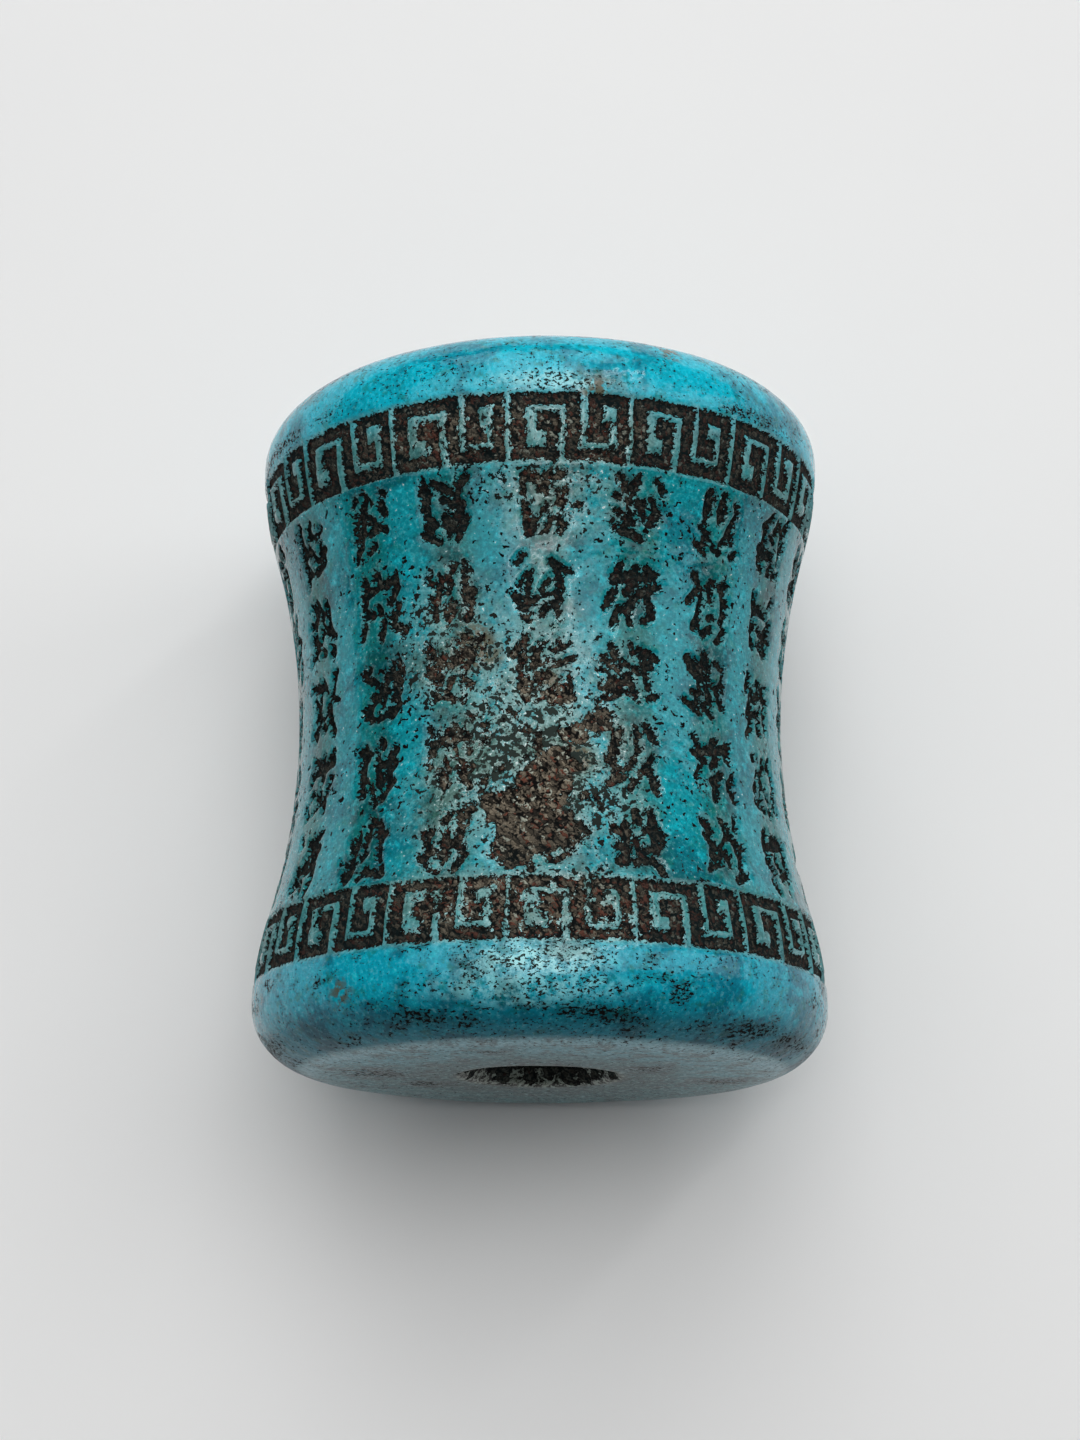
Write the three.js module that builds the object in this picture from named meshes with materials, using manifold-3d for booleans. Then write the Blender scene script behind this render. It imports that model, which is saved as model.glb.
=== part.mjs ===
// A waisted tube bead with a round bore, lying on its side. Its axis runs along Y, the side that was
// photographed looks up (+Z), and two small flat spots under its rims keep it from rolling. Each end
// of the body has a band of key fret, and columns of short strokes fill the field between the bands.
// Millimetres, +Z up, origin on the resting plane under the middle of the bead.

import * as THREE from 'three';
import { mergeVertices } from 'three/addons/utils/BufferGeometryUtils.js';
import Module from 'manifold-3d';

const wasm = await Module();
wasm.setup();

// Body
const beadLength = 26;
const waistRadius = 9.35;
const waistOffset = -0.19;      // along Y, from mid length to the narrowest place
const boreRadius = 2.2;
const mouthRadius = 2.81;       // worn mouth of the bore
const mouthDepth = 1.1;
const flatDepth = 0.12;         // how far the flat spot is cut into the smaller rim

// Each end: its rim, its flat face and its band. rimSetback and bandSetback are measured along the
// bead from the end face, to the widest place of the rim and to the near edge of the band.
// hollowShare is the share of the way from waist to rim that is concave.
const farEnd = {
  side: 1, rimRadius: 11.0, faceRadius: 8.73, rimSetback: 2.08, bandSetback: 2.98, bandWidth: 2.39,
  hollowShare: 0.7,
};
const nearEnd = {
  side: -1, rimRadius: 10.83, faceRadius: 8.1, rimSetback: 2.38, bandSetback: 3.31, bandWidth: 2.21,
  hollowShare: 0.69,
};

// Carving
const carveDepth = 0.25;
const fretUnits = 15;
const fretPhase = -6.5;         // degrees from the top of the lying bead to the first gap
const strokeColumns = 18;
const strokeRows = 5;
const strokePhase = 1;          // degrees from the top to the first column
const markWidth = 2.0;
const markHeight = 2.05;
const strokeWidth = 0.4;

// Worn patches where the surface is gone: size, and place of the middle along Y and around the bead
const wornPatches = [
  { width: 3.6, height: 4.0, along: -5.0, around: -0.5 },
  { width: 2.0, height: 1.9, along: -1.4, around: 14.5 },
];

// How far the cutters stand out of the surface, and the broad ones reach into the core
const clearance = 1.5;

// Fineness of the faceted surface
const facetsPerColumn = 2;
const edgeSteps = 3;

const radians = Math.PI / 180;
const halfLength = beadLength / 2;
const ends = [nearEnd, farEnd];
const bandLimits = (end) => {
  const outer = halfLength - end.bandSetback;
  return { inner: end.side * (outer - end.bandWidth), outer: end.side * outer };
};
const fieldStart = bandLimits(nearEnd).inner;
const fieldEnd = bandLimits(farEnd).inner;
const axisHeight = Math.min(nearEnd.rimRadius, farEnd.rimRadius) - flatDepth;

// Radius of the outside at a place along the bead. From the waist it follows a hollow arc, then a
// rounded arc tangent to it up to the widest place, and a quarter ellipse rolls over to the end face.
function outerRadius(y) {
  const end = y > waistOffset ? farEnd : nearEnd;
  const run = Math.abs(y - waistOffset);
  const reach = halfLength - end.rimSetback - end.side * waistOffset;
  const swell = end.rimRadius - waistRadius;
  const arcSum = (swell * swell + reach * reach) / (2 * swell);
  if (run <= reach * end.hollowShare) {
    const hollow = arcSum * end.hollowShare;
    return waistRadius + hollow * (1 - Math.sqrt(1 - (run / hollow) ** 2));
  }
  if (run <= reach) {
    const round = arcSum * (1 - end.hollowShare);
    return end.rimRadius - round * (1 - Math.sqrt(1 - ((reach - run) / round) ** 2));
  }
  const over = Math.min((run - reach) / end.rimSetback, 1);
  return end.faceRadius + (end.rimRadius - end.faceRadius) * Math.sqrt(1 - over * over);
}

// Places along the bead where the outside has a ring of corners, from the near end to the far end
function stations() {
  const places = [];
  for (let i = 0; i <= strokeRows; i += 1) {
    places.push(fieldStart + ((fieldEnd - fieldStart) * i) / strokeRows);
  }
  for (const end of ends) {
    places.push(bandLimits(end).outer);
    for (let i = 0; i <= edgeSteps; i += 1) {
      const over = Math.sin((i / edgeSteps) * 90 * radians);
      places.push(end.side * (halfLength - end.rimSetback * (1 - over)));
    }
  }
  places.sort((a, b) => a - b);
  return places.filter((place, i) => i === 0 || place - places[i - 1] > 0.05);
}

// A closed body in manifold's form, with the shared corners of the geometry merged
function solid(geometry) {
  const bare = geometry.index ? geometry.clone() : geometry;
  bare.deleteAttribute('normal');
  bare.deleteAttribute('uv');
  const merged = mergeVertices(bare, 1e-4);
  return new wasm.Manifold(new wasm.Mesh({
    numProp: 3,
    vertProperties: new Float32Array(merged.attributes.position.array),
    triVerts: new Uint32Array(merged.index.array),
  }));
}

// A turned body whose corners stand at the middle of each column of strokes and halfway between them
function turned(points) {
  const facets = strokeColumns * facetsPerColumn;
  return solid(new THREE.LatheGeometry(points, facets, strokePhase * radians));
}

// The whole bead before carving: outside, end faces, worn mouths and bore in one closed profile
function blank() {
  const outside = stations().map((y) => new THREE.Vector2(outerRadius(y), y));
  const inside = [
    new THREE.Vector2(mouthRadius, halfLength),
    new THREE.Vector2(boreRadius, halfLength - mouthDepth),
    new THREE.Vector2(boreRadius, mouthDepth - halfLength),
    new THREE.Vector2(mouthRadius, -halfLength),
  ];
  return turned([...outside, ...inside, outside[0].clone()]);
}

// What is left inside the carved skin: it gives the wide cuts their even depth
function core() {
  const skin = stations().map((y) => new THREE.Vector2(outerRadius(y) - carveDepth, y));
  return turned([new THREE.Vector2(0, -halfLength), ...skin, new THREE.Vector2(0, halfLength)]);
}

// A cutter from a flat outline of points (degrees around the bead, millimetres along it). Its walls
// run radially, from the given depth under the surface to well outside it.
function cutter(outline, depth) {
  const shape = new THREE.Shape(outline.map(([around, y]) => new THREE.Vector2(around, y)));
  const geometry = new THREE.ExtrudeGeometry(shape, { depth: 1, bevelEnabled: false });
  const position = geometry.attributes.position;
  for (let i = 0; i < position.count; i += 1) {
    const angle = position.getX(i) * radians;
    const y = position.getY(i);
    const radius = outerRadius(y) + (position.getZ(i) > 0.5 ? clearance : -depth);
    position.setXYZ(i, radius * Math.sin(angle), y, radius * Math.cos(angle));
  }
  return solid(geometry);
}

// Outline of a ribbon of even width along a path that only turns at right angles
function ribbon(path, halfWidth) {
  const left = [];
  const right = [];
  path.forEach(([x, y], i) => {
    const [px, py] = path[Math.max(i - 1, 0)];
    const [nx, ny] = path[Math.min(i + 1, path.length - 1)];
    const before = [Math.sign(x - px), Math.sign(y - py)];
    const after = [Math.sign(nx - x), Math.sign(ny - y)];
    const corner = i > 0 && i < path.length - 1;
    const square = corner ? [0, 0] : [after[0] - before[0], after[1] - before[1]];
    const across = [-(before[1] + after[1]), before[0] + after[0]];
    left.push([x + halfWidth * (across[0] - square[0]), y + halfWidth * (across[1] - square[1])]);
    right.unshift([x - halfWidth * (across[0] + square[0]), y - halfWidth * (across[1] + square[1])]);
  });
  return [...left, ...right];
}

// One unit of the key fret: a line that coils in, crosses over and coils in again the other way
// round. It is drawn on a grid of 11 by 7 cells, with one more column as the gap to the next unit.
const fretColumns = 12;
const fretRows = 7;

function fretOutline() {
  const half = [[2, 2], [3, 2], [3, 6], [0, 6], [0, 0], [5, 0]];
  const other = half.map(([column, row]) => [10 - column, 6 - row]).reverse();
  return ribbon([...half, ...other], 0.5);
}

function fretCutters(end) {
  const { inner, outer } = bandLimits(end);
  const top = Math.max(inner, outer);
  const unitAngle = 360 / fretUnits;
  return Array.from({ length: fretUnits }, (_, unit) => {
    const outline = fretOutline().map(([column, row]) => [
      fretPhase + unitAngle * (unit + (column + 1) / fretColumns),
      top - ((row + 0.5) / fretRows) * end.bandWidth,
    ]);
    return cutter(outline, carveDepth);
  });
}

// The strokes of the kinds of mark. A stroke is [x, y, length, turn]: its middle and its length as
// shares of the mark's size, and its turn from upright in degrees. The marks spell nothing.
const markKinds = [
  [[-0.32, 0.02, 0.95, -4], [0.22, -0.14, 0.6, 32]],
  [[0.02, 0.3, 0.9, 80]],
  [[-0.22, -0.06, 0.85, 7], [0.3, 0.1, 0.66, -8]],
  [[0.26, 0.12, 0.8, -14], [-0.22, -0.2, 0.55, 58]],
  [[-0.16, 0, 0.9, 12]],
];

// A shuffle that gives neighbouring places different kinds of mark
const markKind = (column, row) => (column * (column + 3) + 7 * row) % markKinds.length;

// A slot the size of one stroke, laid on the slope of the surface at the middle of its mark
function strokeCutter(stroke, middleAngle, middleY) {
  const [x, y, length, turn] = stroke;
  const level = Math.abs(turn) > 45;
  const run = length * (level ? markWidth : markHeight);
  const slot = new THREE.BoxGeometry(strokeWidth, run, carveDepth + clearance);
  const half = markHeight / 2;
  const slope = Math.atan2(outerRadius(middleY + half) - outerRadius(middleY - half), markHeight);
  slot.translate(0, 0, (clearance - carveDepth) / 2);
  slot.rotateZ(-turn * radians);
  slot.translate(x * markWidth, y * markHeight, 0);
  slot.rotateX(slope);
  slot.translate(0, middleY, outerRadius(middleY));
  slot.rotateY(middleAngle * radians);
  return solid(slot);
}

// Whether the middle of a mark falls on a worn patch, where nothing is left of it
function onPatch(angle, y) {
  return wornPatches.some((patch) => {
    const turn = (angle - patch.around) * radians;
    const aside = outerRadius(y) * Math.abs(Math.sin(turn));
    const sameSide = Math.cos(turn) > 0;
    return sameSide && aside < patch.width / 2 && Math.abs(y - patch.along) < patch.height / 2;
  });
}

function strokeCutters() {
  const cutters = [];
  const pitch = (fieldEnd - fieldStart) / strokeRows;
  for (let column = 0; column < strokeColumns; column += 1) {
    const angle = strokePhase + (360 / strokeColumns) * column;
    for (let row = 0; row < strokeRows; row += 1) {
      const y = fieldEnd - pitch * (row + 0.5);
      if (onPatch(angle, y)) continue;
      for (const stroke of markKinds[markKind(column, row)]) {
        cutters.push(strokeCutter(stroke, angle, y));
      }
    }
  }
  return cutters;
}

// A ragged round patch: an oval whose edge wanders in and out
function patchCutter(patch) {
  const corners = 10;
  const radius = outerRadius(patch.along);
  const outline = Array.from({ length: corners }, (_, i) => {
    const turn = (2 * Math.PI * i) / corners;
    const reach = 0.5 + 0.07 * Math.sin(3 * turn + 1) + 0.05 * Math.cos(5 * turn);
    const east = reach * patch.width * Math.cos(turn);
    return [patch.around + east / radius / radians, patch.along + reach * patch.height * Math.sin(turn)];
  });
  return cutter(outline, carveDepth + clearance);
}

function joined(solids) {
  return solids.reduce((whole, next) => whole.add(next));
}

// Everything below the resting plane, which leaves the flat spots under the two rims
function below() {
  const size = 4 * Math.max(nearEnd.rimRadius, farEnd.rimRadius);
  const box = new THREE.BoxGeometry(size, beadLength * 2, size);
  box.translate(0, 0, -axisHeight - size / 2);
  return solid(box);
}

function carvedBead() {
  const worn = joined(wornPatches.map(patchCutter)).subtract(core());
  const carving = joined([...ends.flatMap(fretCutters), ...strokeCutters()]);
  return blank().subtract(carving).subtract(worn).subtract(below());
}

function toGeometry(body) {
  const mesh = body.getMesh();
  const geometry = new THREE.BufferGeometry();
  geometry.setAttribute('position', new THREE.BufferAttribute(new Float32Array(mesh.vertProperties), 3));
  geometry.setIndex(new THREE.BufferAttribute(new Uint32Array(mesh.triVerts), 1));
  geometry.computeVertexNormals();
  return geometry;
}

const glaze = new THREE.MeshStandardMaterial({ color: 0x1f93a6, roughness: 0.42, metalness: 0 });

const bead = new THREE.Mesh(toGeometry(carvedBead()), glaze);
bead.name = 'bead';
bead.position.z = axisHeight;

const part = new THREE.Group();
part.add(bead);

export default part;
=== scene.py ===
"""A waisted turquoise bead with carved key fret, lying on its side and seen from above.

The bead is one closed mesh made of rings around its bore. Lengths in the code are millimetres, with
Y along the bead and angles in degrees around it, from the top. They become metres at the very end.
"""

import math

import bpy
import numpy as np
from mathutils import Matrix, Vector


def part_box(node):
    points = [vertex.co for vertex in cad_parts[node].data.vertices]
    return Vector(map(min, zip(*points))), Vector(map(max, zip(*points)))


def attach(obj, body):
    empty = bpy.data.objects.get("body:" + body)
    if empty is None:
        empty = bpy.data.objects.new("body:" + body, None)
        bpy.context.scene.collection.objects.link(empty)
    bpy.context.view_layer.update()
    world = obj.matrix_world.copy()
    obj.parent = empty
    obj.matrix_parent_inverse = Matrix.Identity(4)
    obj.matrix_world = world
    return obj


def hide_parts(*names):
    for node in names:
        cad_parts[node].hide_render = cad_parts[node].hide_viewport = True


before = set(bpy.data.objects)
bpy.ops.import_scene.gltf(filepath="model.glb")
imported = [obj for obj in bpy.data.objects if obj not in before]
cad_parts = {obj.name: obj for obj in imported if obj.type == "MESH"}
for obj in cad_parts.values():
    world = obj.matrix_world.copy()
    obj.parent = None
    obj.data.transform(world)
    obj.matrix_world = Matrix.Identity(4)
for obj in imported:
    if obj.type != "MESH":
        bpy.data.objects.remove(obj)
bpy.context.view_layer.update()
low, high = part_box("bead")

MM = 0.001

# Body, as in the solid
LENGTH = (high.y - low.y) / MM
HALF = LENGTH / 2
WAIST_RADIUS = 9.35
WAIST_OFFSET = -0.19
AXIS_HEIGHT = 10.71
BORE_RADIUS = 2.2
MOUTH_RADIUS = 2.81
MOUTH_DEPTH = 1.1

# Each end: the widest place and the band are measured from the end face. Hollow is the hollow arc's
# share of the way to the widest place, and lean is how far the end is out of square, in degrees.
FAR = dict(
    name="far_band", side=1, rim=11.0, face=8.73, setback=2.08,
    band=2.98, width=2.39, hollow=0.7, lean=0.7,
)
NEAR = dict(
    name="near_band", side=-1, rim=10.83, face=8.1, setback=2.38,
    band=3.31, width=2.21, hollow=0.69, lean=-0.3,
)

# Carving: its depth, and where its wall starts outside its edge and ends inside it
DEPTH = 0.17
WALL_OUTSIDE = 0.07
WALL_INSIDE = 0.06
FRET_SEED = 11
MARK_SEED = 29
FRET_UNITS = 15
FRET_PHASE = -6.5
FRET = (
    "######.####.",
    "#....#.#..#.",
    "#.##.#.#..#.",
    "#.##.#.##.#.",
    "#..#.#.##.#.",
    "#..#.#....#.",
    "####.######.",
)
FRET_COLUMN_WIDTHS = (110, 110, 70, 100, 80, 110, 70, 100, 70, 70, 90, 60)
FRET_ROW_HEIGHTS = (115, 88, 98, 98, 98, 88, 115)
FRET_SPREAD = 0.045
FRET_SLIDE = 0.055              # how far its points slide sideways, as a hand-drawn line does
LINES_PER_CELL = (0.1, 0.5, 0.9)
COLUMNS = 18
ROWS = 5
COLUMN_PHASE = 1.0
MARK_WIDTH = 2.15
MARK_HEIGHT = 2.15
STROKE_WIDTH = 0.31

# The main strokes of each kind of mark, as in the solid: middle and length as shares of the mark,
# turn from upright in degrees. Short random strokes fill the rest of a mark. They spell nothing.
MARK_KINDS = (
    ((-0.32, 0.02, 0.95, -4), (0.22, -0.14, 0.6, 32)),
    ((0.02, 0.3, 0.9, 80),),
    ((-0.22, -0.06, 0.85, 7), (0.3, 0.1, 0.66, -8)),
    ((0.26, 0.12, 0.8, -14), (-0.22, -0.2, 0.55, 58)),
    ((-0.16, 0, 0.9, 12),),
)
FILL_PLACES = tuple((x, y) for x in (-0.3, 0.02, 0.32) for y in (-0.4, -0.13, 0.14, 0.4))
FILL_COUNT = 11
LONE_MARK = (0, 3)              # column and row of the mark that is a single stroke
LONE_STROKE = (-0.1, 0.0, 0.85, 0.0)

# Worn places where the glaze is gone: along Y, angle, half width and half height
WORN = (
    (-5.5, -1.6, 1.5, 1.4),
    (-6.3, -4.6, 1.15, 0.8),
    (-4.1, 1.0, 0.85, 0.8),
    (-3.3, 3.6, 0.5, 0.5),
    (-0.8, 9.5, 0.8, 0.25),
    (-2.1, 6.5, 0.45, 0.3),
    (-1.5, 13.0, 0.55, 0.35),
    (0.9, -15.5, 0.5, 0.6),
    (-0.6, -8.0, 0.4, 0.3),
)
# Wider places where the glaze is thin, chalky and full of pits: the same, with a strength
THIN = (
    (-3.0, -3.0, 4.2, 5.6, 1.0),
    (1.0, -20.0, 2.4, 3.4, 0.8),
    (6.5, 3.0, 2.6, 2.0, 0.7),
    (-8.2, -2.0, 5.0, 2.0, 0.7),
    (8.8, -6.0, 5.0, 1.4, 0.5),
    # On the top of the near rim: its bleached colour here is a painted highlight
    (-10.4, -1.0, 2.3, 0.65, 0.95),
    (-11.3, -4.0, 3.4, 0.6, 0.55),
    (10.5, 3.0, 3.4, 0.45, 0.7),
    (3.0, 150.0, 4.0, 4.0, 0.7),
    (-4.0, 215.0, 3.0, 4.0, 0.5),
)
# Brownish stains: along Y, angle and radius
STAINS = (
    (1.0, -15.0, 0.9),
    (-0.2, 2.0, 0.3),
    (-3.1, 7.5, 0.5),
    (10.2, 11.0, 0.5),
    (12.2, 27.0, 0.4),
    (-11.2, -40.0, 0.4),
    (6.0, 170.0, 0.8),
    (-9.8, 120.0, 0.5),
)

# Dark smudges on both end faces: sideways and up from the axis, and radius
SMUDGES = (
    (-6.3, 0.8, 1.9),
    (-4.2, -2.2, 1.1),
    (6.9, -1.0, 1.2),
    (3.9, 2.4, 0.9),
    (-1.5, 6.6, 0.8),
)

# Crumbled spots show where noise passes this level, less the spread where the glaze is thin
CRUMB_LEVEL = 0.8
CRUMB_SPREAD = 0.5

# Distance from the middle of the bead to the line of pits on each rounded edge, and from the far end
# face to the line above the far fret
EDGE_PITS = 12.25
FRET_PITS = 2.6

# The glaze is greener in the columns of marks, and this fades out over so many millimetres at the bands
FIELD_FADE = 0.8

# Share of the carving's own slope in the shading, the rest is the smooth surface's
RELIEF_SHADING = 0.5

# Noise in the shapes and masks: strength, size of its bumps in millimetres, seed and layers
UNEVENNESS = (0.035, 4.5, 14, 3)
FLOOR_GRAIN = (0.05, 0.24, 21, 2)
CUT_EDGES = (0.035, 0.3, 8, 2)
WORN_EDGES = (0.5, 1.3, 5, 3)
WORN_EDGES_FINE = (0.5, 0.55, 59, 2)
CRUMBS = (1.0, 0.5, 61, 3)
CHIPS = (0.3, 0.9, 67, 3)
CHIPS_FINE = (0.5, 0.35, 71, 2)
THIN_EDGES = (0.3, 2.5, 41, 3)
PIT_LINE_DRIFT = (0.35, 3.0, 47, 3)
PIT_LINE_GAPS = (1.0, 3.0, 53, 3)
SMUDGE_EDGES = (0.45, 1.4, 73, 3)

# Signed distances, negative where the glaze is gone: in the bore, and where nothing is cut
BORE_CUT = -0.5
UNCUT = 3.0
FAR_AWAY = 9.0

# Fineness: lines around the bead in the carved zone, on the rims and in the bore
FINE = FRET_UNITS * len(FRET[0]) * len(LINES_PER_CELL)
COARSE = FINE // 3
INNER = COARSE // 2

# Rings along the bead: on an end face, a rounded edge and a rim, across a mark and in the gap after it,
# and in the bore. Those across a mark reach a little beyond it.
FACE_RINGS = 7
EDGE_RINGS = 12
RIM_RINGS = 3
MARK_RINGS = 20
MARK_REACH = 1.12
GAP_RINGS = 3
BORE_RINGS = 14

# The worn mouth of the bore: depth below the end face, and what it adds to the mouth's radius
MOUTH_PROFILE = ((0.0, 0.3), (0.05, 0.16), (0.16, 0.05), (0.34, -0.06), (0.6, -0.25), (0.85, -0.45))


def outer_radius(y):
    """Radius of the outside at places along the bead: hollow arc, rounded arc, quarter ellipse."""
    y = np.asarray(y, float)
    result = np.zeros_like(y)
    for end in (NEAR, FAR):
        mine = (y > WAIST_OFFSET) == (end["side"] > 0)
        run = np.abs(y - WAIST_OFFSET)
        reach = HALF - end["setback"] - end["side"] * WAIST_OFFSET
        swell = end["rim"] - WAIST_RADIUS
        arcs = (swell ** 2 + reach ** 2) / (2 * swell)
        hollow = arcs * end["hollow"]
        rounded = arcs - hollow
        in_hollow = WAIST_RADIUS + hollow * (1 - np.sqrt(np.clip(1 - (run / hollow) ** 2, 0, 1)))
        back = reach - run
        in_round = end["rim"] - rounded * (1 - np.sqrt(np.clip(1 - (back / rounded) ** 2, 0, 1)))
        over = np.clip(-back / end["setback"], 0, 1)
        on_edge = end["face"] + (end["rim"] - end["face"]) * np.sqrt(1 - over ** 2)
        value = np.where(run <= reach * end["hollow"], in_hollow, np.where(back >= 0, in_round, on_edge))
        result = np.where(mine, value, result)
    return result


def lattice_noise(points, size, seed):
    """Smooth random values from -1 to 1 at points (n, 3), with bumps about the given size."""
    scaled = points / size + seed * 17.31
    cell = np.floor(scaled).astype(np.int64)
    part = scaled - cell
    ease = part * part * (3 - 2 * part)
    total = np.zeros(len(points))
    for corner in range(8):
        step = np.array([corner & 1, (corner >> 1) & 1, (corner >> 2) & 1])
        x, y, z = (cell + step).T
        mixed = (x * 374761393 + y * 668265263 + z * 1274126177 + seed * 144665) & 0xFFFFFFFF
        mixed = ((mixed ^ (mixed >> 13)) * 1103515245) & 0xFFFFFFFF
        value = ((mixed ^ (mixed >> 16)) & 0xFFFF) / 32767.5 - 1
        total += value * np.prod(np.where(step, ease, 1 - ease), axis=1)
    return total


def layered_noise(points, strength, size, seed, layers):
    """Noise with ever finer and weaker layers, each half the size of the one before."""
    total = sum(lattice_noise(points, size / 2 ** i, seed + i) / 2 ** i for i in range(layers))
    return strength * (total / 1.5)


def band_limits(end):
    outer = HALF - end["band"]
    return end["side"] * (outer - end["width"]), end["side"] * outer


FIELD_START = band_limits(NEAR)[0]
FIELD_END = band_limits(FAR)[0]


def new_ring(y, radius, angles, kind):
    """One ring around the bore, with a point at each angle."""
    return dict(y=float(y), radius=float(radius), angles=angles, kind=kind)


def even_angles(count, phase=0.0):
    return phase + 360.0 * np.arange(count) / count


def cumulative(widths, total):
    return np.concatenate([[0], np.cumsum(widths)]) * total / np.sum(widths)


def fret_column_edges(rng):
    """Angles of the edges of all fret columns, hand-drawn: every unit and column differs a little."""
    units = 360 / FRET_UNITS + rng.normal(0, 0.35, FRET_UNITS)
    starts = FRET_PHASE + cumulative(units, 360)
    edges = []
    for unit in range(FRET_UNITS):
        widths = np.array(FRET_COLUMN_WIDTHS) * (1 + rng.normal(0, 0.07, len(FRET_COLUMN_WIDTHS)))
        edges.extend(starts[unit] + cumulative(widths, starts[unit + 1] - starts[unit])[:-1])
    half_gap = 0.5 * 360 / FRET_UNITS / len(FRET_COLUMN_WIDTHS)
    return np.append(edges, starts[-1]) + half_gap


def band_rings(end, rng):
    """The rings of one fret band, from its near side to its far side."""
    start, stop = sorted(band_limits(end))
    column_edges = fret_column_edges(rng)
    row_edges = stop - cumulative(FRET_ROW_HEIGHTS, stop - start)
    widths = np.diff(column_edges)
    angles = np.concatenate([column_edges[:-1] + share * widths for share in LINES_PER_CELL])
    angles = np.sort(angles)
    margin = LINES_PER_CELL[0] * (row_edges[0] - row_edges[1])
    places = [start - margin]
    for row in reversed(range(len(FRET))):
        for share in reversed(LINES_PER_CELL):
            places.append(row_edges[row] + share * (row_edges[row + 1] - row_edges[row]))
    places.append(stop + margin)
    end["column_edges"] = column_edges
    end["row_edges"] = row_edges
    return [new_ring(y, outer_radius(y), angles, end["name"]) for y in places]


def field_places():
    """Places of the rings in the field: close together across the marks, wider in the gaps."""
    pitch = (FIELD_END - FIELD_START) / ROWS
    mark = MARK_HEIGHT * MARK_REACH
    places = []
    for row in range(ROWS):
        middle = FIELD_START + pitch * (row + 0.5)
        places.extend(np.linspace(middle - mark / 2, middle + mark / 2, MARK_RINGS))
        if row < ROWS - 1:
            gap = (pitch - mark) / (GAP_RINGS + 1)
            places.extend(middle + mark / 2 + gap * np.arange(1, GAP_RINGS + 1))
    ends = np.linspace(places[-1], FIELD_END, 4)[1:-1]
    starts = np.linspace(FIELD_START, places[0], 4)[1:-1]
    return np.concatenate([starts, places, ends])


def end_rings(end):
    """The rings of one end, outwards: its flat face, its rounded edge and its rim up to the band."""
    side, face, setback = end["side"], end["face"], end["setback"]
    inner, coarse = even_angles(INNER), even_angles(COARSE)
    rings = []
    for radius in np.linspace(MOUTH_RADIUS + 0.45, face - 0.5, FACE_RINGS):
        rings.append(new_ring(side * HALF, radius, inner, "face"))
    rings.append(new_ring(side * HALF, face - 0.12, coarse, "face"))
    for turn in np.radians(np.linspace(0, 90, EDGE_RINGS + 1)[1:]):
        y = HALF - setback * (1 - math.cos(turn))
        radius = face + (end["rim"] - face) * math.sin(turn)
        rings.append(new_ring(side * y, radius, coarse, "rim"))
    for y in np.linspace(HALF - setback, HALF - end["band"], RIM_RINGS + 2)[1:-1]:
        rings.append(new_ring(side * y, outer_radius(side * y), coarse, "rim"))
    return rings


def mouth_rings(end):
    """The rings of one mouth of the bore, inwards."""
    inner = even_angles(INNER)
    places = [(end["side"] * (HALF - depth), MOUTH_RADIUS + extra) for depth, extra in MOUTH_PROFILE]
    return [new_ring(y, radius, inner, "mouth") for y, radius in places]


def build_rings():
    """All rings in order along the closed outline: near end, outside, far end, and back in the bore."""
    rng = np.random.default_rng(FRET_SEED)
    fine, inner = even_angles(FINE, FRET_PHASE), even_angles(INNER)
    rings = end_rings(NEAR) + band_rings(NEAR, rng)
    rings += [new_ring(y, outer_radius(y), fine, "field") for y in field_places()]
    rings += band_rings(FAR, rng) + end_rings(FAR)[::-1] + mouth_rings(FAR)
    bore = np.linspace(HALF - MOUTH_DEPTH, MOUTH_DEPTH - HALF, BORE_RINGS)
    rings += [new_ring(y, BORE_RADIUS, inner, "bore") for y in bore]
    return rings + mouth_rings(NEAR)[::-1]


def fret_distance(angles, y, end):
    """Signed distance in millimetres to the edge of the fret, negative in the cut."""
    radius = float(outer_radius(y.mean()))
    column_edges, row_edges = end["column_edges"], end["row_edges"]
    pattern = np.array([[mark == "#" for mark in line] for line in FRET])
    pattern = np.tile(pattern, (1, FRET_UNITS))
    rows, columns = pattern.shape
    column = np.clip(np.searchsorted(column_edges, angles, "right") - 1, 0, columns - 1)
    row = np.searchsorted(-row_edges, -y, "right") - 1
    inside = np.where((row >= 0) & (row < rows), pattern[np.clip(row, 0, rows - 1), column], False)
    nearest = np.full(len(angles), FAR_AWAY)
    for down in (-1, 0, 1):
        for right in (-1, 0, 1):
            if not (down or right):
                continue
            other_row, other_column = row + down, (column + right) % columns
            valid = (other_row >= 0) & (other_row < rows)
            state = np.where(valid, pattern[np.clip(other_row, 0, rows - 1), other_column], False)
            aside = np.zeros(len(angles))
            if right:
                edge = column_edges[column + (right > 0)]
                aside = np.abs(edge - angles) * math.pi / 180 * radius
            along = np.zeros(len(angles))
            if down:
                edge = row_edges[np.clip(row + (down > 0), 0, rows)]
                along = np.abs(edge - y)
            distance = np.hypot(aside, along)
            nearest = np.where(state != inside, np.minimum(nearest, distance), nearest)
    return np.where(inside, -nearest, nearest)


def mark_kind(column, row):
    return (column * (column + 3) + 7 * row) % len(MARK_KINDS)


def mark_strokes(kind, rng):
    """The main strokes of a mark and a random choice of short ones around them."""
    strokes = list(MARK_KINDS[kind])
    for place in rng.permutation(len(FILL_PLACES))[:FILL_COUNT]:
        x, y = np.array(FILL_PLACES[place]) + rng.normal(0, 0.04, 2)
        level = rng.random() < 0.4
        turn = (90 if level else 0) + rng.choice((-1, 1)) * rng.uniform(14, 40)
        strokes.append((x, y, rng.uniform(0.24, 0.52), turn))
    return strokes


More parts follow.
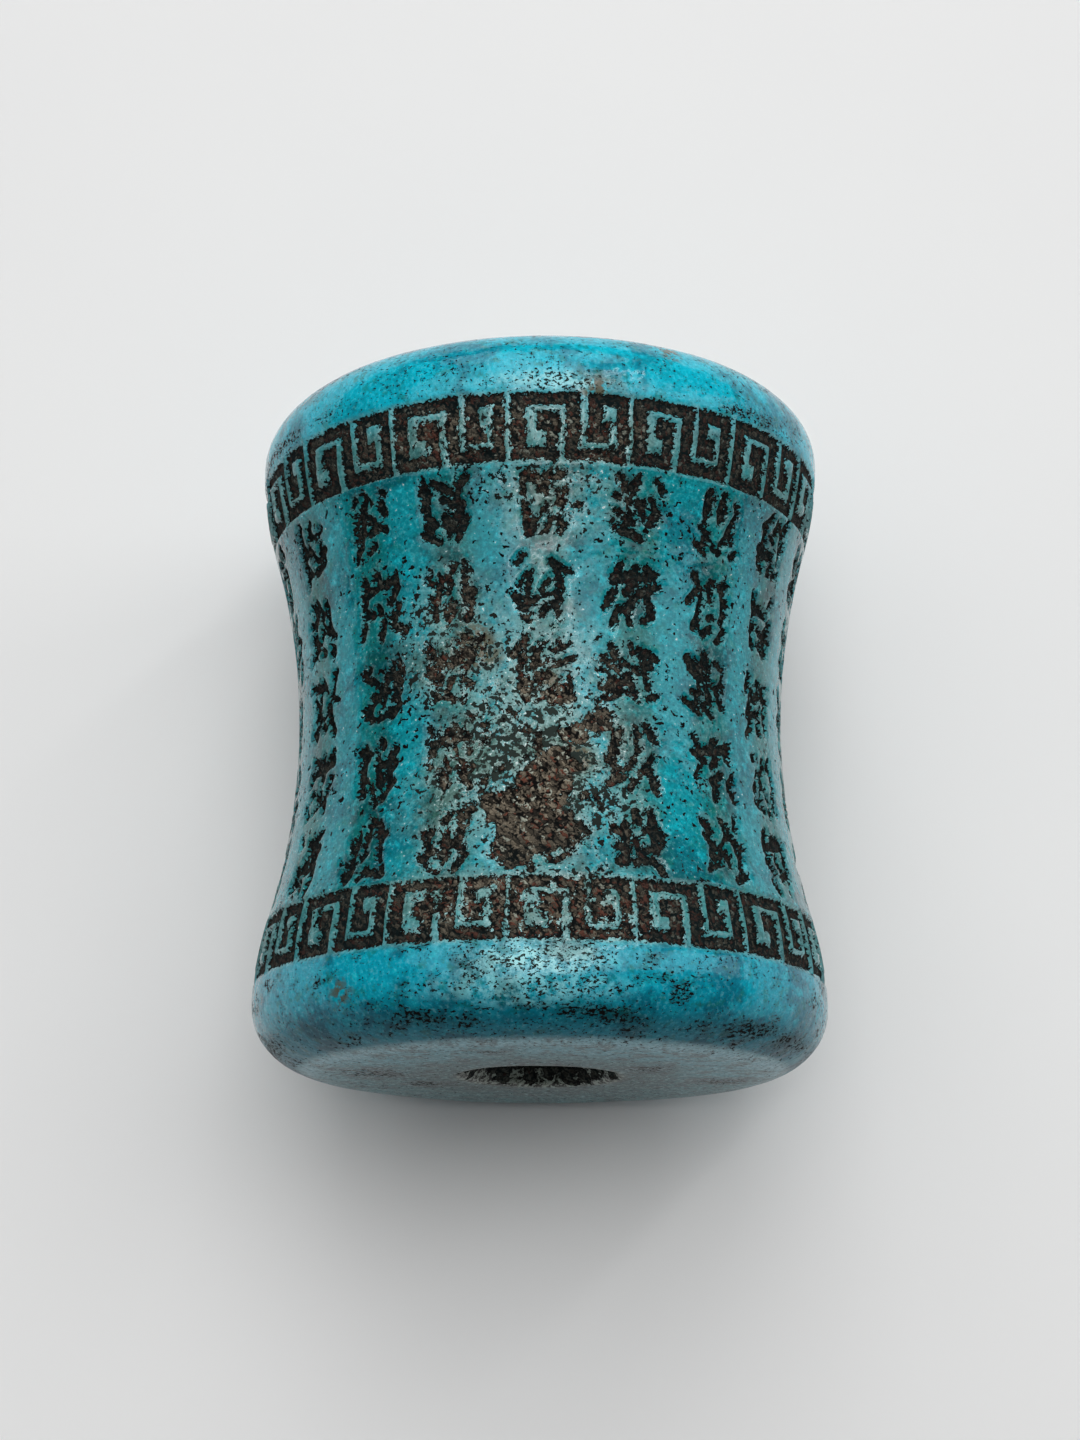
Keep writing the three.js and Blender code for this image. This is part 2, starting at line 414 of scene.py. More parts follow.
def stroke_distance(east, north, stroke, width):
    """Signed distance to one stroke with round ends, on a flat sheet in millimetres."""
    x, y, length, turn = stroke
    lean = math.radians(turn)
    size = MARK_WIDTH if abs(turn) > 45 else MARK_HEIGHT
    run = np.array([math.sin(lean), math.cos(lean)])
    half = max(length * size / 2 - width / 2, 0.02)
    de, dn = east - x * MARK_WIDTH, north - y * MARK_HEIGHT
    t = np.clip(de * run[0] + dn * run[1], -half, half)
    return np.hypot(de - t * run[0], dn - t * run[1]) - width / 2


def field_distance(angles, y):
    """Signed distance to the nearest stroke of a mark."""
    rng = np.random.default_rng(MARK_SEED)
    nearest = np.full(len(angles), FAR_AWAY)
    radius = outer_radius(y)
    pitch = (FIELD_END - FIELD_START) / ROWS
    for column in range(COLUMNS):
        middle = COLUMN_PHASE + 360 / COLUMNS * column + rng.normal(0, 0.5)
        turn = (angles - middle + 180) % 360 - 180
        east = np.radians(turn) * radius
        near_column = np.abs(east) < MARK_WIDTH * 0.95
        for row in range(ROWS):
            centre = FIELD_END - pitch * (row + 0.5) + rng.normal(0, 0.06)
            shift, tip = rng.normal(0, 0.07), rng.normal(0, 3)
            strokes = mark_strokes(mark_kind(column, row), rng)
            if (column, row) == LONE_MARK:
                strokes = [LONE_STROKE]
            widths = STROKE_WIDTH * rng.uniform(0.8, 1.25, len(strokes))
            near = near_column & (np.abs(y - centre) < MARK_HEIGHT * 0.95)
            e, n = east[near] - shift, y[near] - centre
            best = nearest[near]
            for stroke, width in zip(strokes, widths):
                moved = (*stroke[:3], stroke[3] + tip)
                best = np.minimum(best, stroke_distance(e, n, moved, width))
            nearest[near] = best
    return nearest


def worn_distance(angles, y):
    """Signed distance to the nearest worn place where the glaze is gone."""
    nearest = np.full(len(angles), FAR_AWAY)
    radius = outer_radius(y)
    for along, around, half_width, half_height in WORN:
        turn = (angles - around + 180) % 360 - 180
        aside = np.radians(turn) * radius / half_width
        up = (y - along) / half_height
        nearest = np.minimum(nearest, (np.hypot(aside, up) - 1) * min(half_width, half_height))
    return nearest


def thin_share(angles, y, points):
    """How thin and pitted the glaze is, from 0 to 1."""
    share = np.zeros(len(angles))
    ragged = layered_noise(points, *THIN_EDGES)
    for along, around, half_width, half_height, strength in THIN:
        turn = (angles - around + 180) % 360 - 180
        aside = np.radians(turn) * WAIST_RADIUS / half_width
        reach = np.hypot(aside, (y - along) / half_height) + ragged
        share = np.maximum(share, strength * smooth_step(-reach, -1.25, -0.35))
    return share


def stain_share(angles, y, points):
    """How brown the glaze is, from 0 to 1."""
    share = np.zeros(len(angles))
    ragged = 0.3 * lattice_noise(points, 0.6, 43)
    for along, around, reach in STAINS:
        turn = (angles - around + 180) % 360 - 180
        aside = np.radians(turn) * outer_radius(along)
        distance = np.hypot(aside, y - along) / reach + ragged
        share = np.maximum(share, smooth_step(-distance, -1.4, -0.6))
    return share


def end_wear(y, points, kind):
    """Lines of pits on the rims and smudges on the end faces, from 0 to 1 or a little over."""
    drift = layered_noise(points, *PIT_LINE_DRIFT)
    share = np.exp(-((np.abs(y) - EDGE_PITS - drift) / 0.25) ** 2) * np.where(y > 0, 0.5, 1.2)
    share = np.maximum(share, 0.9 * np.exp(-((y - HALF + FRET_PITS - drift) / 0.3) ** 2))
    patchy = smooth_step(layered_noise(points, *PIT_LINE_GAPS), -0.15, 0.35)
    smudge = np.zeros(len(points))
    ragged = layered_noise(points, *SMUDGE_EDGES)
    for sideways, up, reach in SMUDGES:
        distance = np.hypot(points[:, 0] - sideways, points[:, 2] - up) / reach + ragged
        smudge = np.maximum(smudge, smooth_step(-distance, -1.3, -0.4))
    return np.where(kind == "rim", share * patchy, np.where(kind == "face", smudge, 0))


def column_share(angles, y):
    """1 in the middle of a column of marks, -1 between two columns and 0 outside the field."""
    swing = np.cos(np.radians((angles - COLUMN_PHASE) * COLUMNS))
    start = smooth_step(y, FIELD_START, FIELD_START + FIELD_FADE)
    return swing * start * smooth_step(-y, -FIELD_END, FIELD_FADE - FIELD_END)


def closed_faces(counts):
    """Quads and triangles that join each ring to the next one, and the last to the first."""
    starts = np.concatenate([[0], np.cumsum(counts)])
    faces = []
    for i, count in enumerate(counts):
        j = (i + 1) % len(counts)
        other = counts[j]
        here, there = starts[i], starts[j]
        if count == other:
            k = np.arange(count)
            n = (k + 1) % count
            faces.extend(zip(here + k, here + n, there + n, there + k))
            continue
        fine_first = count > other
        fine, coarse = (here, there) if fine_first else (there, here)
        share = max(count, other) // min(count, other)
        for k in range(min(count, other)):
            n = (k + 1) % min(count, other)
            outer = [fine + (share * k + m) % max(count, other) for m in range(share + 1)]
            half = share // 2
            fans = [(outer[m], outer[m + 1], coarse + k) for m in range(half + share % 2)]
            fans += [(outer[m], outer[m + 1], coarse + n) for m in range(half + share % 2, share)]
            fans.append((outer[half + share % 2], coarse + n, coarse + k))
            faces.extend(f if fine_first else f[::-1] for f in fans)
    return faces


def aligned(angles, reference):
    """The same angles, started at the one nearest to the reference's first."""
    shift = int(np.argmin(np.abs((angles - reference[0] + 180) % 360 - 180)))
    return np.roll(angles, -shift)


def smooth_step(value, start, stop):
    t = np.clip((value - start) / (stop - start), 0, 1)
    return t * t * (3 - 2 * t)


def cut_distance(angles, y, radius, kind, points, thin):
    """Signed distance to the edge of the places without glaze, negative in them."""
    cut = np.full(len(y), UNCUT)
    for end in (NEAR, FAR):
        here = kind == end["name"]
        wrapped = (angles[here] - end["column_edges"][0]) % 360 + end["column_edges"][0]
        cut[here] = fret_distance(wrapped, y[here], end) - FRET_SPREAD
    field = kind == "field"
    wobble = 0.05 * lattice_noise(points[field], 0.5, 3)
    cut[field] = field_distance(angles[field], y[field]) + wobble
    limits = [limit for end in (NEAR, FAR) for limit in band_limits(end)]
    to_band = np.min([np.abs(y - limit) for limit in limits], axis=0)
    outside = (kind == "rim") | field
    cut[outside] = np.minimum(cut[outside], np.maximum(to_band[outside], 0.04))

    # Worn places and crumbled spots, in the carved zone
    worn = worn_distance(angles, y) + layered_noise(points, *WORN_EDGES)
    worn += layered_noise(points, *WORN_EDGES_FINE)
    crumbs = CRUMB_LEVEL - CRUMB_SPREAD * thin - layered_noise(points, *CRUMBS)
    worn = np.minimum(worn, 0.35 * crumbs)
    carved = field | (kind == "near_band") | (kind == "far_band")
    cut[carved] = np.minimum(cut[carved], worn[carved])

    # The bore has no glaze, and its mouths are chipped
    cut[kind == "bore"] = BORE_CUT
    chipped = layered_noise(points, *CHIPS) + layered_noise(points, *CHIPS_FINE)
    near_mouth = (kind == "mouth") | ((kind == "face") & (radius < MOUTH_RADIUS + 1.2))
    cut[near_mouth] = ((radius - MOUTH_RADIUS - 0.05) + chipped)[near_mouth]
    return cut + layered_noise(points, *CUT_EDGES)


def carved_depth(cut, kind, points):
    """How far each point lies under the smooth surface."""
    depth = DEPTH * smooth_step(-cut, -WALL_OUTSIDE, WALL_INSIDE)
    depth[(kind == "bore") | (kind == "mouth") | (kind == "face")] = 0
    grain = layered_noise(points, *FLOOR_GRAIN)
    depth += np.where((cut < -0.03) & (depth > 0), grain, 0)
    return depth + layered_noise(points, *UNEVENNESS)


def build_bead():
    rings = build_rings()
    reference = rings[0]["angles"]
    for ring in rings:
        ring["angles"] = aligned(ring["angles"], reference)
    counts = [len(ring["angles"]) for ring in rings]
    angles = np.concatenate([ring["angles"] for ring in rings])
    y = np.repeat([ring["y"] for ring in rings], counts)
    radius = np.repeat([ring["radius"] for ring in rings], counts)
    kind = np.repeat([ring["kind"] for ring in rings], counts)

    # The outline's direction gives each ring's outward normal in the plane of the axis.
    outline = np.array([(ring["y"], ring["radius"]) for ring in rings])
    tangent = np.roll(outline, -1, axis=0) - np.roll(outline, 1, axis=0)
    tangent /= np.linalg.norm(tangent, axis=1)[:, None]
    normal_y = np.repeat(-tangent[:, 1], counts)
    normal_r = np.repeat(tangent[:, 0], counts)

    turn = np.radians(angles)
    smooth = np.stack([radius * np.sin(turn), y, radius * np.cos(turn)], axis=1)
    thin = thin_share(angles, y, smooth)
    cut = cut_distance(angles, y, radius, kind, smooth, thin)
    depth = carved_depth(cut, kind, smooth)

    # Hand-drawn frets: the points slide sideways a little along the surface.
    band = (kind == "near_band") | (kind == "far_band")
    slide = np.where(band, FRET_SLIDE, 0.0)
    turn = turn + slide * lattice_noise(smooth, 0.9, 31) / radius
    slid_y = y + slide * lattice_noise(smooth, 0.9, 37)

    final_radius = radius - depth * normal_r
    final_y = slid_y - depth * normal_y
    x = final_radius * np.sin(turn)
    lean = np.radians(np.interp(final_y, [-HALF, HALF], [NEAR["lean"], FAR["lean"]]))
    final_y = final_y + x * np.tan(lean)
    z = np.maximum(final_radius * np.cos(turn) + AXIS_HEIGHT, 0)
    points = np.stack([x, final_y, z], axis=1) * MM

    mesh = bpy.data.meshes.new("bead_relief")
    faces = [tuple(int(v) for v in face) for face in closed_faces(counts)]
    mesh.from_pydata([tuple(p) for p in points], [], faces)
    masks = {
        "cut": cut,
        "wear": thin,
        "fret": band.astype(float),
        "end_wear": end_wear(y, smooth, kind),
        "rust": stain_share(angles, y, smooth),
        "column": column_share(angles, y),
    }
    for name, values in masks.items():
        attribute = mesh.attributes.new(name, "FLOAT", "POINT")
        attribute.data.foreach_set("value", values.astype(np.float32))
    mesh.polygons.foreach_set("use_smooth", [True] * len(mesh.polygons))
    mesh.update()

    # Softened normals: without them each smooth-shaded flat between two cuts would look puffed
    relief = np.zeros(len(points) * 3)
    mesh.vertex_normals.foreach_get("vector", relief)
    plain = np.stack([normal_r * np.sin(turn), normal_y, normal_r * np.cos(turn)], axis=1)
    mixed = RELIEF_SHADING * relief.reshape(-1, 3) + (1 - RELIEF_SHADING) * plain
    mixed /= np.linalg.norm(mixed, axis=1)[:, None]
    mesh.normals_split_custom_set_from_vertices([tuple(v) for v in mixed])
    bead = bpy.data.objects.new("bead_relief", mesh)
    bpy.context.scene.collection.objects.link(bead)
    return bead


class Nodes:
    """A short way to write a material's node tree."""

    def __init__(self, name):
        self.material = bpy.data.materials.new(name)
        self.material.use_nodes = True
        self.tree = self.material.node_tree
        self.shader = self.tree.nodes["Principled BSDF"]

    def link(self, value, socket):
        if isinstance(value, bpy.types.NodeSocket):
            self.tree.links.new(value, socket)
        else:
            socket.default_value = value

    def node(self, kind, inputs=(), output=0, **settings):
        node = self.tree.nodes.new(kind)
        for key, value in settings.items():
            setattr(node, key, value)
        for key, value in dict(inputs).items():
            self.link(value, node.inputs[key])
        return node.outputs[output]

    def math(self, operation, a, b=0.0, c=0.0):
        return self.node("ShaderNodeMath", {0: a, 1: b, 2: c}, operation=operation)

    def times(self, a, b):
        return self.math("MULTIPLY", a, b)

    def most(self, a, b):
        return self.math("MAXIMUM", a, b)

    def times_plus(self, a, b, added):
        return self.math("MULTIPLY_ADD", a, b, added)

    def vector(self, operation, inputs, output=0):
        return self.node("ShaderNodeVectorMath", inputs, output, operation=operation)

    def noise(self, vector, scale, detail=2.0, rough=0.5):
        inputs = {"Vector": vector, "Scale": scale, "Detail": detail, "Roughness": rough}
        return self.node("ShaderNodeTexNoise", inputs)

    def mix(self, factor, a, b, blend="MIX"):
        inputs = {"Factor": factor, 6: a, 7: b}
        return self.node("ShaderNodeMix", inputs, 2, data_type="RGBA", blend_type=blend)

    def tint(self, factor, colour, tint):
        return self.mix(factor, colour, tint, "MULTIPLY")

    def blend(self, factor, a, b):
        return self.node("ShaderNodeMix", {"Factor": factor, 2: a, 3: b}, data_type="FLOAT")

    def span(self, value, start, stop, to_start=0.0, to_stop=1.0):
        """The value carried smoothly from the span start..stop to the other span, and held there."""
        inputs = {"Value": value, 1: start, 2: stop, 3: to_start, 4: to_stop}
        return self.node("ShaderNodeMapRange", inputs, interpolation_type="SMOOTHSTEP")

    def attribute(self, name):
        return self.node("ShaderNodeAttribute", output=2, attribute_name=name)


def rgb(red, green, blue):
    return (red, green, blue, 1.0)


# Zones of the material, in millimetres: where each starts and where it is in full
CORE_ZONE = (3.45, 2.95)        # the bore and its mouths, from the axis
MOUTH_ZONE = (11.6, 12.6)       # the mouths of the bore, from the middle
BORE_SHADE_ZONE = (12.5, 12.1)        # painted shade in the bore without its mouths, from the middle
RIM_ZONE = (8.6, 10.2)          # both rims, from the middle
FACE_ZONE = (12.75, 12.95)      # both end faces, from the middle
FACE_EDGE_ZONE = (7.6, 8.7)     # the edge of an end face, from the axis
AROUND_MOUTH_ZONE = (7.4, 3.6)          # darker around the mouth, from the axis
FOOT_ZONE = (-11.2, -12.3)      # the near end, along the bead
LOW_ZONE = (14.0, 4.0)          # painted shade on the lower part of the near face, above the floor
FAR_ZONE = (-4.0, 4.0)          # the far half, along the bead

# Colours of the glaze and of what lies on it
NEAR_RIM = rgb(0.002, 0.38, 0.53)
FAR_RIM = rgb(0.002, 0.54, 0.73)
WAIST = rgb(0.003, 0.245, 0.29)
BRIGHT_SPOTS = rgb(0.006, 0.60, 0.72)
GREEN_SPOTS = rgb(0.010, 0.21, 0.18)
# Painted highlight: brighter glaze between the columns of marks
BETWEEN_COLUMNS_HIGHLIGHT = rgb(0.006, 0.44, 0.57)
FRET_GLAZE = rgb(0.10, 0.28, 0.27)
GRIME = rgb(0.003, 0.07, 0.07)
CHALK = rgb(0.16, 0.33, 0.32)
# Pale colour of thin glaze on the rims, and a painted highlight on the top of the near rim
BLEACHED_AND_HIGHLIGHT = rgb(0.32, 0.76, 0.80)
FACE_GLAZE = rgb(0.09, 0.36, 0.44)
FACE_EDGE = rgb(0.30, 0.54, 0.62)
FACE_STAIN = rgb(0.015, 0.035, 0.035)
FACE_SMUDGE = rgb(0.012, 0.03, 0.03)
DARK_SPECKS = rgb(0.015, 0.03, 0.03)
PALE_SPECKS = rgb(0.34, 0.56, 0.62)
WAIST_MOSS = rgb(0.04, 0.09, 0.05)
RIM_MOSS = rgb(0.006, 0.10, 0.09)
DARK_CRUMBS = rgb(0.008, 0.01, 0.008)
PALE_CRUMBS = rgb(0.26, 0.31, 0.27)
FROST = rgb(0.24, 0.48, 0.52)
# Painted highlight: a pale lip along the edges of the cuts
LIP_HIGHLIGHT = rgb(0.45, 0.62, 0.60)
# Painted glints: small white specks of highlight
GLINTS = rgb(0.72, 0.82, 0.80)
RUST = rgb(0.10, 0.07, 0.025)

# Tints, which the colour of the glaze is multiplied by
PATCH_TINT = rgb(0.4, 0.50, 0.54)
COLUMN_TINT = rgb(0.8, 0.62, 0.52)
# Painted shade: the near end darker
NEAR_END_SHADE_TINT = rgb(0.5, 0.5, 0.52)
AROUND_MOUTH_TINT = rgb(0.46, 0.40, 0.36)
# Painted shade: the lower part of the near face darker towards the floor
LOW_FACE_SHADE_TINT = rgb(0.62, 0.52, 0.47)
DARK_GRAIN = rgb(0.72, 0.77, 0.78)
LIGHT_GRAIN = rgb(1.27, 1.18, 1.16)
NO_TINT = rgb(1.0, 1.0, 1.0)

# Colours of the body under the glaze
DARK_BODY = rgb(0.014, 0.012, 0.010)
BROWN_BODY = rgb(0.25, 0.21, 0.155)
RED_BODY = rgb(0.155, 0.060, 0.040)
PALE_BODY = rgb(0.38, 0.40, 0.33)
GREENISH_BODY = rgb(0.002, 0.014, 0.016)
BLACK = rgb(0.0015, 0.0013, 0.0012)
# Painted shade: a dark brink at the foot of each cut's wall
BRINK_SHADE = rgb(0.0015, 0.0012, 0.001)
PIT_FLOOR = rgb(0.0015, 0.0015, 0.0015)
WORN_PIT_FLOOR = rgb(0.022, 0.032, 0.028)


class GlazeNodes(Nodes):
    """The bead's nodes, with the places, masks and noises that several of its layers use."""

    def __init__(self):
        super().__init__("turquoise_glaze")
        place = self.node("ShaderNodeTexCoord", output=3)
        self.mm = self.vector("SCALE", {0: place, 3: 1 / MM})
        self.flattened = self.vector("MULTIPLY", {0: self.mm, 1: (1.0, 1.7, 1.0)})
        self.along = self.node("ShaderNodeSeparateXYZ", {0: self.mm}, 1)
        self.above_floor = self.node("ShaderNodeSeparateXYZ", {0: self.mm}, 2)
        self.from_middle = self.math("ABSOLUTE", self.along)
        across = self.vector("SUBTRACT", {0: self.mm, 1: (0.0, 0.0, AXIS_HEIGHT)})
        across = self.vector("MULTIPLY", {0: across, 1: (1.0, 0.0, 1.0)})
        self.from_axis = self.vector("LENGTH", {0: across}, 1)

        self.cut = self.attribute("cut")
        self.wear = self.attribute("wear")
        self.fret = self.attribute("fret")
        self.end_wear = self.attribute("end_wear")
        self.rust = self.attribute("rust")
        self.column = self.attribute("column")

        self.core = self.span(self.from_axis, *CORE_ZONE)
        self.rim_zone = self.span(self.from_middle, *RIM_ZONE)
        self.face = self.span(self.from_middle, *FACE_ZONE)
        self.foot = self.span(self.along, *FOOT_ZONE)

        # Noise from fine to coarse
        self.grain = self.noise(self.mm, 6.2, 2.0, 0.68)
        self.blots = self.noise(self.mm, 4.0, 2.0, 0.55)
        self.spots = self.noise(self.mm, 2.1, 4.0, 0.72)
        self.patch = self.noise(self.mm, 0.5, 4.0, 0.65)

        # Dark clusters on the rims, fewer on the far one
        clusters = self.span(self.noise(self.flattened, 0.5, 4.0, 0.65), 0.51, 0.62)
        clusters = self.times(clusters, self.math("SUBTRACT", self.rim_zone, self.face))
        self.clusters = self.times(clusters, self.span(self.along, *FAR_ZONE, 1.0, 0.35))

        # Grains of the body, with outlines that the noise bends
        pushed = self.vector("MULTIPLY_ADD", {0: self.blots, 1: (0.7, -0.7, 0.7), 2: self.mm})
        self.from_grain = self.node("ShaderNodeTexVoronoi", {"Vector": pushed, "Scale": 6.0})


def bare_places(n):
    """Where the glaze is gone, from the signed distance: the place, its dark brink of painted shade at
    the foot of the cut's wall, and its pale lip, a painted highlight along the cut's edge.
    """
    teeth = n.math("SUBTRACT", n.noise(n.mm, 7.0, 2.0, 0.6), 0.5)
    toothed = n.times_plus(teeth, 0.42, n.cut)
    islands = n.times(n.span(n.spots, 0.56, 0.62), n.wear)
    toothed = n.times_plus(islands, 0.35, toothed)
    bare = n.span(toothed, 0.015, -0.015)
    brink_shade = n.span(toothed, -0.15, -0.01)
    lip_highlight = n.times(n.span(toothed, 0.15, 0.03), n.span(n.spots, 0.47, 0.6))
    return bare, brink_shade, lip_highlight


def small_pits(n):
    """Small pits, in swarms, more of them in worn places and along the edges of the ends."""
    swarm = n.span(n.noise(n.mm, 0.33, 3.0, 0.6), 0.49, 0.60)
    crowd = n.times_plus(swarm, 0.42, n.times(n.wear, 0.85))
    crowd = n.most(n.times(n.end_wear, 1.25), crowd)
    crowd = n.times_plus(n.face, -0.5, crowd)
    crowd = n.most(n.times(n.clusters, 0.95), crowd)
    fine_pits = n.math("SUBTRACT", n.grain, n.times_plus(crowd, 0.10, 0.305))
    dashes = n.noise(n.flattened, 6.5, 2.0, 0.6)
    large_pits = n.blend(n.most(n.rim_zone, n.face), n.blots, dashes)
    large_pits = n.math("SUBTRACT", large_pits, n.times_plus(crowd, 0.14, 0.318))
    return n.most(n.span(fine_pits, 0.0, -0.02), n.span(large_pits, 0.01, -0.01))


def outside_colour(n):
    """Turquoise: bright on the rims, deeper on the waist, greyer between the lines of the fret."""
    rim = n.mix(n.span(n.along, *FAR_ZONE), NEAR_RIM, FAR_RIM)
    base = n.mix(n.rim_zone, WAIST, rim)
    base = n.tint(n.span(n.patch, 0.47, 0.60), base, PATCH_TINT)
    base = n.mix(n.times(n.span(n.spots, 0.52, 0.68), 0.5), base, BRIGHT_SPOTS)
    base = n.mix(n.times(n.span(n.spots, 0.46, 0.34), 0.6), base, GREEN_SPOTS)

    # Greener in the columns of marks; the brighter glaze between them is a painted highlight, standing
    # for streaks of light there
    uneven = n.times_plus(n.noise(n.mm, 0.4, 3.0, 0.6), 2.4, -1.2)
    uneven = n.times(uneven, n.math("ABSOLUTE", n.column))
    banding = n.math("ADD", n.column, uneven)
    base = n.tint(n.times(n.span(banding, -0.4, 0.9), 0.8), base, COLUMN_TINT)
    base = n.mix(n.span(banding, -0.1, -1.1, 0.0, 0.2), base, BETWEEN_COLUMNS_HIGHLIGHT)
    base = n.mix(n.times(n.fret, 0.55), base, FRET_GLAZE)

    grime = n.most(n.end_wear, n.times(n.clusters, 0.7))
    base = n.mix(n.times(grime, 0.65), base, GRIME)
    # Painted shade: the near end darkened, for the dark underside of its rim and its face
    base = n.tint(n.foot, base, NEAR_END_SHADE_TINT)

    # Thin glaze: chalky on the waist, bleached on the rims; on the top of the near rim this pale colour
    # is also a painted highlight
    worn_rim = n.times(n.rim_zone, n.wear)
    chalk = n.span(n.noise(n.mm, 1.5, 4.0, 0.72), 0.36, 0.56)
    chalk = n.times(chalk, n.times_plus(n.wear, 0.85, 0.01))
    chalk = n.times_plus(worn_rim, -0.6, chalk)
    base = n.mix(n.most(chalk, 0.0), base, CHALK)
    return n.mix(n.times(n.span(n.spots, 0.40, 0.56), worn_rim), base, BLEACHED_AND_HIGHLIGHT)


def with_end_faces(n, base):
    """The colour with the end faces: greyer, darker around the mouth, with painted shade darkening the
    lower part of the near face, and stained.
    """
    base = n.mix(n.times(n.face, 0.8), base, FACE_GLAZE)
    edge = n.times(n.span(n.from_axis, *FACE_EDGE_ZONE), n.face)
    base = n.mix(n.times(edge, 0.5), base, FACE_EDGE)
    base = n.tint(n.times(n.span(n.from_axis, *AROUND_MOUTH_ZONE), n.face), base, AROUND_MOUTH_TINT)
    # Painted shade: the lower part of the near face darkened towards the floor
    low = n.times(n.span(n.above_floor, *LOW_ZONE), n.foot)
    base = n.tint(n.times(low, n.face), base, LOW_FACE_SHADE_TINT)
    stain = n.times(n.span(n.noise(n.mm, 1.2, 6.0, 0.78), 0.49, 0.59), n.face)
    base = n.mix(n.times(stain, 0.7), base, FACE_STAIN)
    smudge = n.times(n.span(n.noise(n.mm, 2.6, 4.0, 0.7), 0.36, 0.52), n.end_wear)
    base = n.mix(n.times(smudge, n.face), base, FACE_SMUDGE)
    specks = n.times(n.span(n.grain, 0.44, 0.32), n.face)
    base = n.mix(n.times(specks, 0.8), base, DARK_SPECKS)
    specks = n.times(n.span(n.grain, 0.54, 0.68), n.face)
    return n.mix(n.times(specks, 0.5), base, PALE_SPECKS)


def with_grain(n, base, lip_highlight):
    """The colour with its fine detail: moss, crumbs in the bore, grain, frost, rust, and painted
    highlights: pale lips along the cuts and glints.
    """
    moss = n.times(n.span(n.patch, 0.50, 0.6), n.times(n.wear, 0.6))
    base = n.mix(moss, base, n.mix(n.rim_zone, WAIST_MOSS, RIM_MOSS))
    base = n.mix(n.core, base, n.mix(n.span(n.grain, 0.42, 0.58), DARK_CRUMBS, PALE_CRUMBS))
    shade = n.mix(n.span(n.grain, 0.34, 0.66), DARK_GRAIN, LIGHT_GRAIN)
    shade = n.mix(n.times(n.rim_zone, 0.3), shade, NO_TINT)
    base = n.tint(1.0, base, shade)
    frost = n.times(n.span(n.grain, 0.53, 0.70), n.times_plus(n.wear, 0.3, 0.16))
    base = n.mix(frost, base, FROST)
    # Painted highlight: a pale lip along the edges of the cuts, more where the glaze is worn
    base = n.mix(n.times(lip_highlight, n.times_plus(n.wear, 0.75, 0.12)), base, LIP_HIGHLIGHT)
    # Painted glints: small white specks of highlight, most in worn glaze and fewest on the rims
    glints = n.span(n.times_plus(n.wear, 0.05, n.grain), 0.70, 0.73)
    base = n.mix(n.times(glints, n.times_plus(n.rim_zone, -0.75, 0.8)), base, GLINTS)
    rusty = n.times(n.span(n.blots, 0.40, 0.54), n.rust)
    return n.mix(n.times(rusty, 0.9), base, RUST)


def body_colour(n, brink_shade):
    """Rough brown body: grains of brown, a few reddish or pale, with black between them."""
    grain_colour = n.from_grain.node.outputs["Color"]
    chance = n.node("ShaderNodeSeparateColor", {0: grain_colour})
    tone = n.mix(chance, DARK_BODY, BROWN_BODY)
    reddish = n.math("GREATER_THAN", n.times_plus(n.fret, 0.15, chance.node.outputs[1]), 0.88)
    tone = n.mix(reddish, tone, RED_BODY)
    mouth = n.times(n.core, n.span(n.from_middle, *MOUTH_ZONE))
    pale_share = n.times_plus(mouth, 0.5, n.times_plus(n.wear, 0.04, 0.06))
    tone = n.mix(n.math("LESS_THAN", chance.node.outputs[2], pale_share), tone, PALE_BODY)
    body = n.mix(n.span(n.from_grain, 0.74, 0.38), BLACK, tone)
    strength = n.times_plus(n.fret, 0.15, n.times_plus(n.wear, 0.65, 0.4))
    body = n.mix(n.math("MINIMUM", strength, 1.0), BLACK, body)
    body = n.mix(n.times_plus(n.wear, -0.5, 0.5), body, GREENISH_BODY)
    # Painted shade: the body darkened along the foot of each cut's wall
    return n.mix(n.times(brink_shade, 0.85), body, BRINK_SHADE)


def roughness(n, gone):
    rough = n.span(n.grain, 0.3, 0.7, 0.17, 0.09)
    rough = n.blend(n.times(n.wear, 0.6), rough, 0.32)
    rough = n.blend(n.most(n.face, n.times(n.foot, 0.8)), rough, 0.36)
    return n.blend(gone, rough, 0.8)


def surface_height(n, bare, pits):
    """Height for the bumps: soft waves and grain in the glaze, rubble in the bare body, pits."""
    height = n.times_plus(n.noise(n.mm, 1.3, 2.0, 0.5), 1.3, n.times(n.grain, 0.025))
    height = n.times_plus(n.span(n.from_grain, 0.55, 0.1), bare, height)
    height = n.times_plus(pits, -0.6, height)
    return n.times_plus(bare, -0.9, height)


